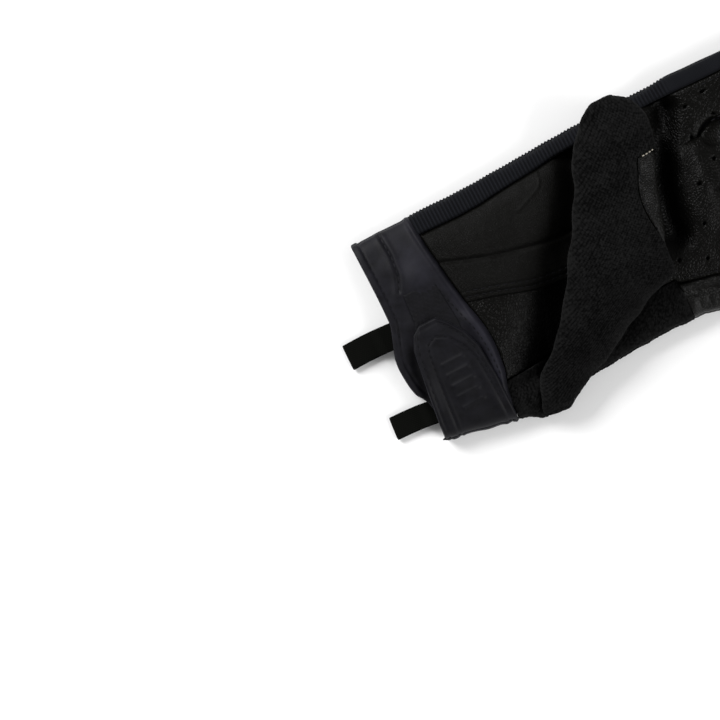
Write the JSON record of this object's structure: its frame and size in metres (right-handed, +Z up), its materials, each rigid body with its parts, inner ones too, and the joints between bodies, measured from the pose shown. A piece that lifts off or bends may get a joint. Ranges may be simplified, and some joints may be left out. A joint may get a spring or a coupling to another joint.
{
  "type": "mountain bike glove",
  "caption": "Full-finger leather palm cycling glove for a right hand, lying palm up with its thumb folded over the palm, a strapped cuff and two webbing pull loops.",
  "frame": {"origin": "middle of the underside of the glove as it lies on its back", "axes": "+X towards the fingertips, +Y towards the little finger's side, +Z up out of the palm"},
  "size_m": [0.2564, 0.108, 0.0309],
  "materials": {
    "cuff": "smooth stretch knit over foam, bluish dark grey with a soft sheen",
    "landing": "brushed loop fabric, dark grey",
    "leather": "fine-grained soft leather, warm near-black, soft sheen",
    "terry": "towelling loops, black, fully matt",
    "rib_knit": "ribbed knit, ribs across the strip, bluish black",
    "back_fabric": "plain stretch weave, bluish black",
    "webbing": "flat woven webbing, black"
  },
  "bodies": {
    "root": {"cuff_band": "cuff", "loop_patch": "landing", "closure_tab": "cuff", "palm_panel": "leather", "heel_patch": "leather", "back_panel": "back_fabric", "side_gusset": "rib_knit", "index_side": "leather", "fourchette_little_ring": "back_fabric", "fourchette_ring_middle": "back_fabric", "fourchette_middle_index": "back_fabric", "thumb_terry": "terry", "thumb_leather": "leather", "pull_loop_upper": "webbing", "pull_loop_lower": "webbing"}
  },
  "joints": []
}
